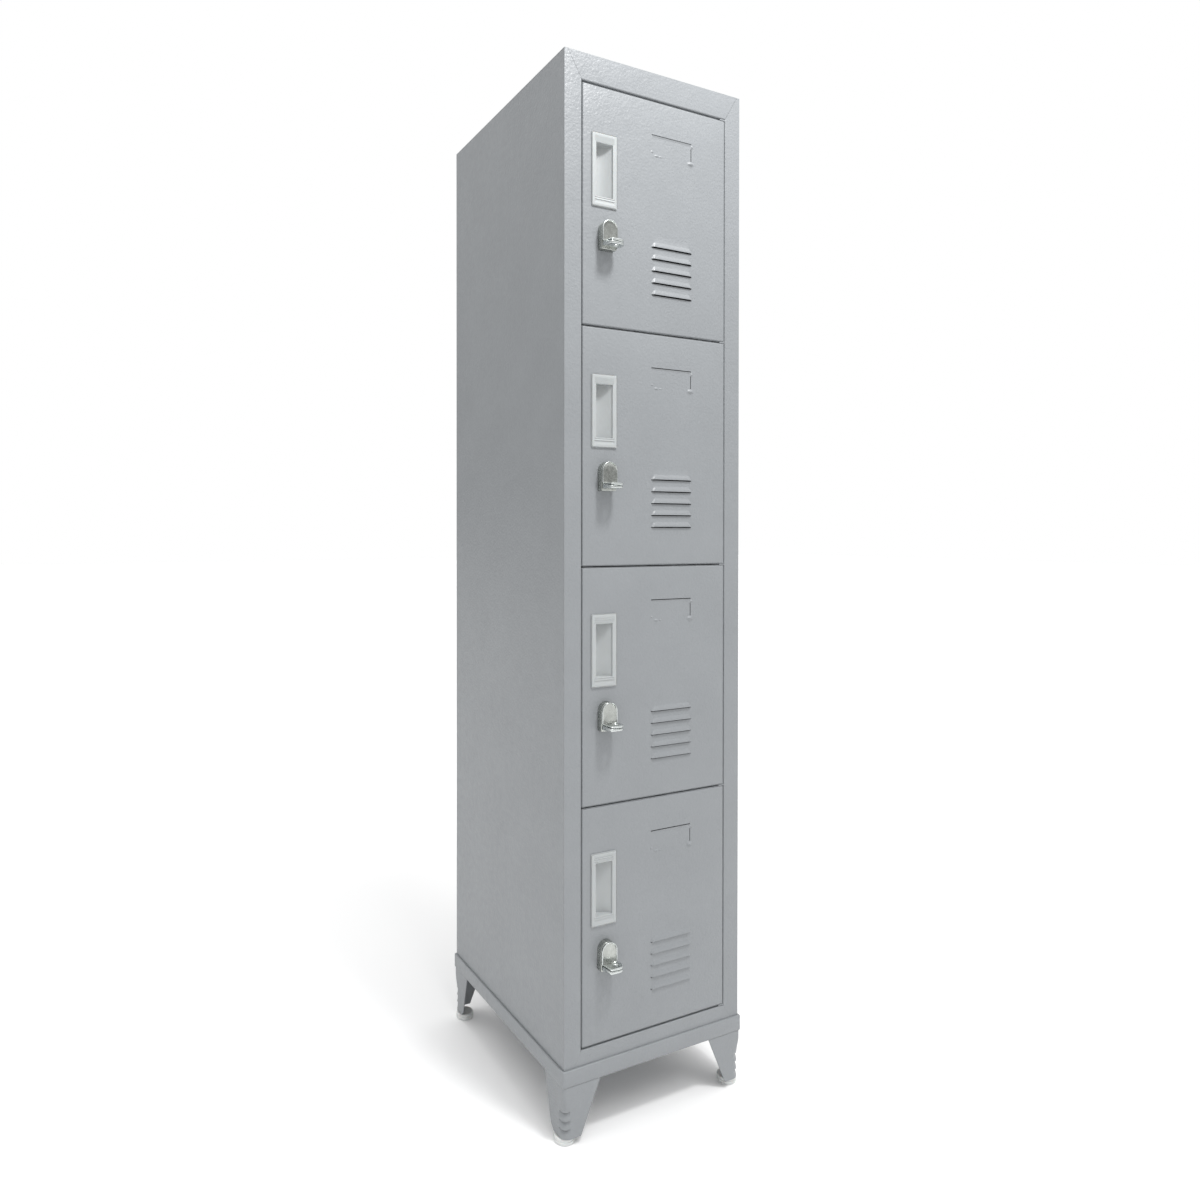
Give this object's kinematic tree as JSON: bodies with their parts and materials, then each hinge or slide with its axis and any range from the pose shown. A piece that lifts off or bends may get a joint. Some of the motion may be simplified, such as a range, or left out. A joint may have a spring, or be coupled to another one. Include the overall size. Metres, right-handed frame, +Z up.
{
  "type": "school locker",
  "caption": "Tall narrow steel locker with stacked doors, recessed handles, padlock hasps and louvres, on a low stand with tapered legs.",
  "frame": {"origin": "centre of the object's box, on the floor under the feet", "axes": "+Z up, the doors face -Y, the hinges are on the +X side"},
  "size_m": [0.394, 0.488, 1.85],
  "materials": {
    "grey_powder_coat": "light grey fine textured powder coat",
    "white_plastic": "satin moulded plastic",
    "zinc": "plated die casting",
    "steel": "zinc plated sheet and hardware"
  },
  "bodies": {
    "cabinet": {"side_panel_left": "grey_powder_coat", "side_panel_right": "grey_powder_coat", "back_panel": "grey_powder_coat", "top_panel": "grey_powder_coat", "bottom_panel": "grey_powder_coat", "frame_jamb_left": "grey_powder_coat", "frame_jamb_right": "grey_powder_coat", "frame_rail_top": "grey_powder_coat", "frame_rail_bottom": "grey_powder_coat", "shelf_1": "grey_powder_coat", "shelf_2": "grey_powder_coat", "shelf_3": "grey_powder_coat", "pivot_bracket_1": "grey_powder_coat", "pivot_bracket_2": "grey_powder_coat", "pivot_bracket_3": "grey_powder_coat", "pivot_bracket_4": "grey_powder_coat", "pivot_bracket_5": "grey_powder_coat", "stand_rail_front": "grey_powder_coat", "stand_rail_right": "grey_powder_coat", "stand_rail_back": "grey_powder_coat", "stand_rail_left": "grey_powder_coat", "leg_front_left": "grey_powder_coat", "foot_front_left": "white_plastic", "leg_front_right": "grey_powder_coat", "foot_front_right": "white_plastic", "leg_back_left": "grey_powder_coat", "foot_back_left": "white_plastic", "leg_back_right": "grey_powder_coat", "foot_back_right": "white_plastic"},
    "door_1": {"door_panel_1": "grey_powder_coat", "handle_cup_1": "white_plastic", "lock_housing_1": "zinc", "lock_nut_1": "steel"},
    "hasp_body_1": {"hasp_1": "zinc", "lock_cam_1": "steel", "cam_screw_1": "steel"},
    "door_2": {"door_panel_2": "grey_powder_coat", "handle_cup_2": "white_plastic", "lock_housing_2": "zinc", "lock_nut_2": "steel"},
    "hasp_body_2": {"hasp_2": "zinc", "lock_cam_2": "steel", "cam_screw_2": "steel"},
    "door_3": {"door_panel_3": "grey_powder_coat", "handle_cup_3": "white_plastic", "lock_housing_3": "zinc", "lock_nut_3": "steel"},
    "hasp_body_3": {"hasp_3": "zinc", "lock_cam_3": "steel", "cam_screw_3": "steel"},
    "door_4": {"door_panel_4": "grey_powder_coat", "handle_cup_4": "white_plastic", "lock_housing_4": "zinc", "lock_nut_4": "steel"},
    "hasp_body_4": {"hasp_4": "zinc", "lock_cam_4": "steel", "cam_screw_4": "steel"}
  },
  "joints": [
    {"name": "door_1_hinge", "type": "hinge", "parent": "cabinet", "child": "door_1", "pos_m": [0.149, -0.205, 1.5965], "axis": [0, 0, 1], "range_deg": [0, 105]},
    {"name": "hasp_1_turn", "type": "hinge", "parent": "door_1", "child": "hasp_body_1", "pos_m": [-0.108, -0.224, 1.555], "axis": [0, -1, 0], "range_deg": [0, 90]},
    {"name": "door_2_hinge", "type": "hinge", "parent": "cabinet", "child": "door_2", "pos_m": [0.149, -0.205, 1.1855], "axis": [0, 0, 1], "range_deg": [0, 105]},
    {"name": "hasp_2_turn", "type": "hinge", "parent": "door_2", "child": "hasp_body_2", "pos_m": [-0.108, -0.224, 1.144], "axis": [0, -1, 0], "range_deg": [0, 90]},
    {"name": "door_3_hinge", "type": "hinge", "parent": "cabinet", "child": "door_3", "pos_m": [0.149, -0.205, 0.7745], "axis": [0, 0, 1], "range_deg": [0, 105]},
    {"name": "hasp_3_turn", "type": "hinge", "parent": "door_3", "child": "hasp_body_3", "pos_m": [-0.108, -0.224, 0.733], "axis": [0, -1, 0], "range_deg": [0, 90]},
    {"name": "door_4_hinge", "type": "hinge", "parent": "cabinet", "child": "door_4", "pos_m": [0.149, -0.205, 0.3635], "axis": [0, 0, 1], "range_deg": [0, 105]},
    {"name": "hasp_4_turn", "type": "hinge", "parent": "door_4", "child": "hasp_body_4", "pos_m": [-0.108, -0.224, 0.322], "axis": [0, -1, 0], "range_deg": [0, 90]}
  ]
}
